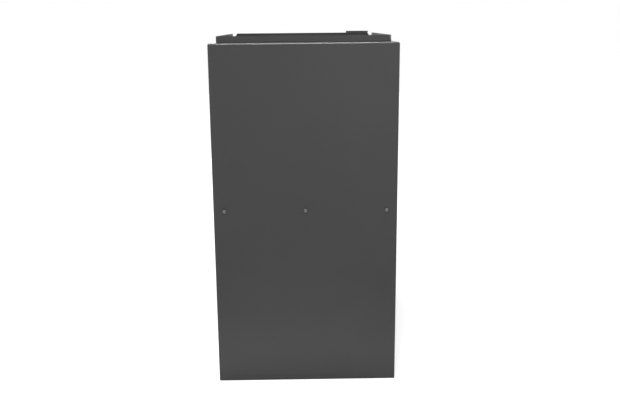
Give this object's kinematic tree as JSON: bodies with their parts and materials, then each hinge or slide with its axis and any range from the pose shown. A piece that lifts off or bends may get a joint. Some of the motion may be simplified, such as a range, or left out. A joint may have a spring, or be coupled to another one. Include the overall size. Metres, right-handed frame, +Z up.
{
  "type": "forced air gas furnace",
  "caption": "Upflow condensing gas furnace: grey sheet-metal cabinet with lift-off doors, tubular exchanger, burners, draught inducer and duct blower.",
  "frame": {"origin": "middle of the footprint, on the floor (centre of the box, at its lowest level)", "axes": "+Z up; the doors face -Y and the back panel faces +Y; +X is on the right of someone facing the doors"},
  "size_m": [0.445, 0.7432, 0.858],
  "materials": {
    "grey_paint": "satin dark grey powder coat",
    "zinc_steel": "galvanised sheet",
    "aluminised_steel": "dull aluminised steel",
    "aluminium": "mill finish",
    "cast_aluminium": "as cast",
    "black_pipe": "black steel pipe",
    "black_plastic": "moulded, fine texture",
    "white_plastic": "semi-gloss pipe plastic",
    "black_rubber": "matte",
    "red_plastic": "moulded",
    "motor_paint": "satin dark paint",
    "ceramic": "unglazed ceramic",
    "circuit_board": "green solder mask",
    "silicone": "silicone hose",
    "sight_glass": "clear",
    "foil_liner": "foil-faced insulation"
  },
  "bodies": {
    "cabinet": {"casing_wrap": "grey_paint", "vestibule_top": "grey_paint", "base_pan": "zinc_steel", "blower_deck": "zinc_steel", "front_rail": "zinc_steel", "vestibule_panel": "zinc_steel", "deck_screw_left": "zinc_steel", "deck_screw_middle": "zinc_steel", "deck_screw_right": "zinc_steel", "blower_housing": "zinc_steel", "motor_mount": "zinc_steel", "control_plate": "zinc_steel", "junction_box": "zinc_steel", "junction_cover": "zinc_steel", "exchanger_tube_1": "aluminised_steel", "exchanger_tube_2": "aluminised_steel", "exchanger_tube_3": "aluminised_steel", "rear_coupling_box": "aluminised_steel", "burner_1": "aluminised_steel", "burner_2": "aluminised_steel", "burner_3": "aluminised_steel", "burner_bracket": "aluminised_steel", "finned_exchanger": "aluminium", "gas_valve": "cast_aluminium", "limit_switch": "cast_aluminium", "transformer": "cast_aluminium", "gas_manifold": "black_pipe", "collector_header": "black_plastic", "rollout_switch_left": "black_plastic", "rollout_switch_right": "black_plastic", "inducer_housing": "black_plastic", "air_inlet_ring": "black_plastic", "condensate_trap": "black_plastic", "door_switch": "black_plastic", "vent_pipe": "white_plastic", "pressure_switch": "white_plastic", "vent_collar": "black_rubber", "drain_hose": "black_rubber", "wire_harness": "black_rubber", "inducer_motor": "motor_paint", "blower_motor": "motor_paint", "igniter": "ceramic", "flame_sensor": "ceramic", "control_board": "circuit_board", "pressure_hose": "silicone"},
    "upper_door": {"upper_door": "grey_paint", "sight_glass": "sight_glass"},
    "lower_door": {"lower_door": "grey_paint", "lower_door_liner": "foil_liner"},
    "upper_knob_left": {"upper_door_knob_left": "black_plastic"},
    "upper_knob_right": {"upper_door_knob_right": "black_plastic"},
    "lower_knob_left": {"lower_door_knob_left": "black_plastic"},
    "lower_knob_right": {"lower_door_knob_right": "black_plastic"},
    "blower_rotor": {"blower_wheel": "zinc_steel", "blower_shaft": "zinc_steel"},
    "inducer_rotor": {"inducer_wheel": "aluminium"},
    "gas_knob": {"gas_valve_knob": "red_plastic"},
    "reset_left": {"reset_button_left": "red_plastic"},
    "reset_right": {"reset_button_right": "red_plastic"},
    "door_plunger": {"door_switch_plunger": "white_plastic"}
  },
  "joints": [
    {"name": "upper_door_off", "type": "slide", "parent": "cabinet", "child": "upper_door", "axis": [0, -1, 0], "range_m": [0, 0.15]},
    {"name": "lower_door_off", "type": "slide", "parent": "cabinet", "child": "lower_door", "axis": [0, -1, 0], "range_m": [0, 0.15]},
    {"name": "upper_knob_left_turn", "type": "hinge", "parent": "upper_door", "child": "upper_knob_left", "pos_m": [-0.15, -0.3577, 0.475], "axis": [0, 1, 0], "continuous": true},
    {"name": "upper_knob_right_turn", "type": "hinge", "parent": "upper_door", "child": "upper_knob_right", "pos_m": [0.15, -0.3577, 0.475], "axis": [0, 1, 0], "continuous": true},
    {"name": "lower_knob_left_turn", "type": "hinge", "parent": "lower_door", "child": "lower_knob_left", "pos_m": [-0.15, -0.3577, 0.427], "axis": [0, 1, 0], "continuous": true},
    {"name": "lower_knob_right_turn", "type": "hinge", "parent": "lower_door", "child": "lower_knob_right", "pos_m": [0.15, -0.3577, 0.427], "axis": [0, 1, 0], "continuous": true},
    {"name": "blower_spin", "type": "hinge", "parent": "cabinet", "child": "blower_rotor", "pos_m": [0, 0.1343, 0.2], "axis": [1, 0, 0], "continuous": true},
    {"name": "inducer_spin", "type": "hinge", "parent": "cabinet", "child": "inducer_rotor", "pos_m": [0.015, -0.2129, 0.575], "axis": [0, 1, 0], "continuous": true},
    {"name": "gas_knob_turn", "type": "hinge", "parent": "cabinet", "child": "gas_knob", "pos_m": [0.186, -0.3243, 0.754], "axis": [0, 1, 0], "range_deg": [0, 90]},
    {"name": "reset_left_push", "type": "slide", "parent": "cabinet", "child": "reset_left", "axis": [0, 1, 0], "range_m": [0, 0.0025], "stiffness_N_per_m": 400},
    {"name": "reset_right_push", "type": "slide", "parent": "cabinet", "child": "reset_right", "axis": [0, 1, 0], "range_m": [0, 0.0025], "stiffness_N_per_m": 400},
    {"name": "door_plunger_push", "type": "slide", "parent": "cabinet", "child": "door_plunger", "axis": [0, 1, 0], "range_m": [0, 0.003], "stiffness_N_per_m": 500}
  ]
}
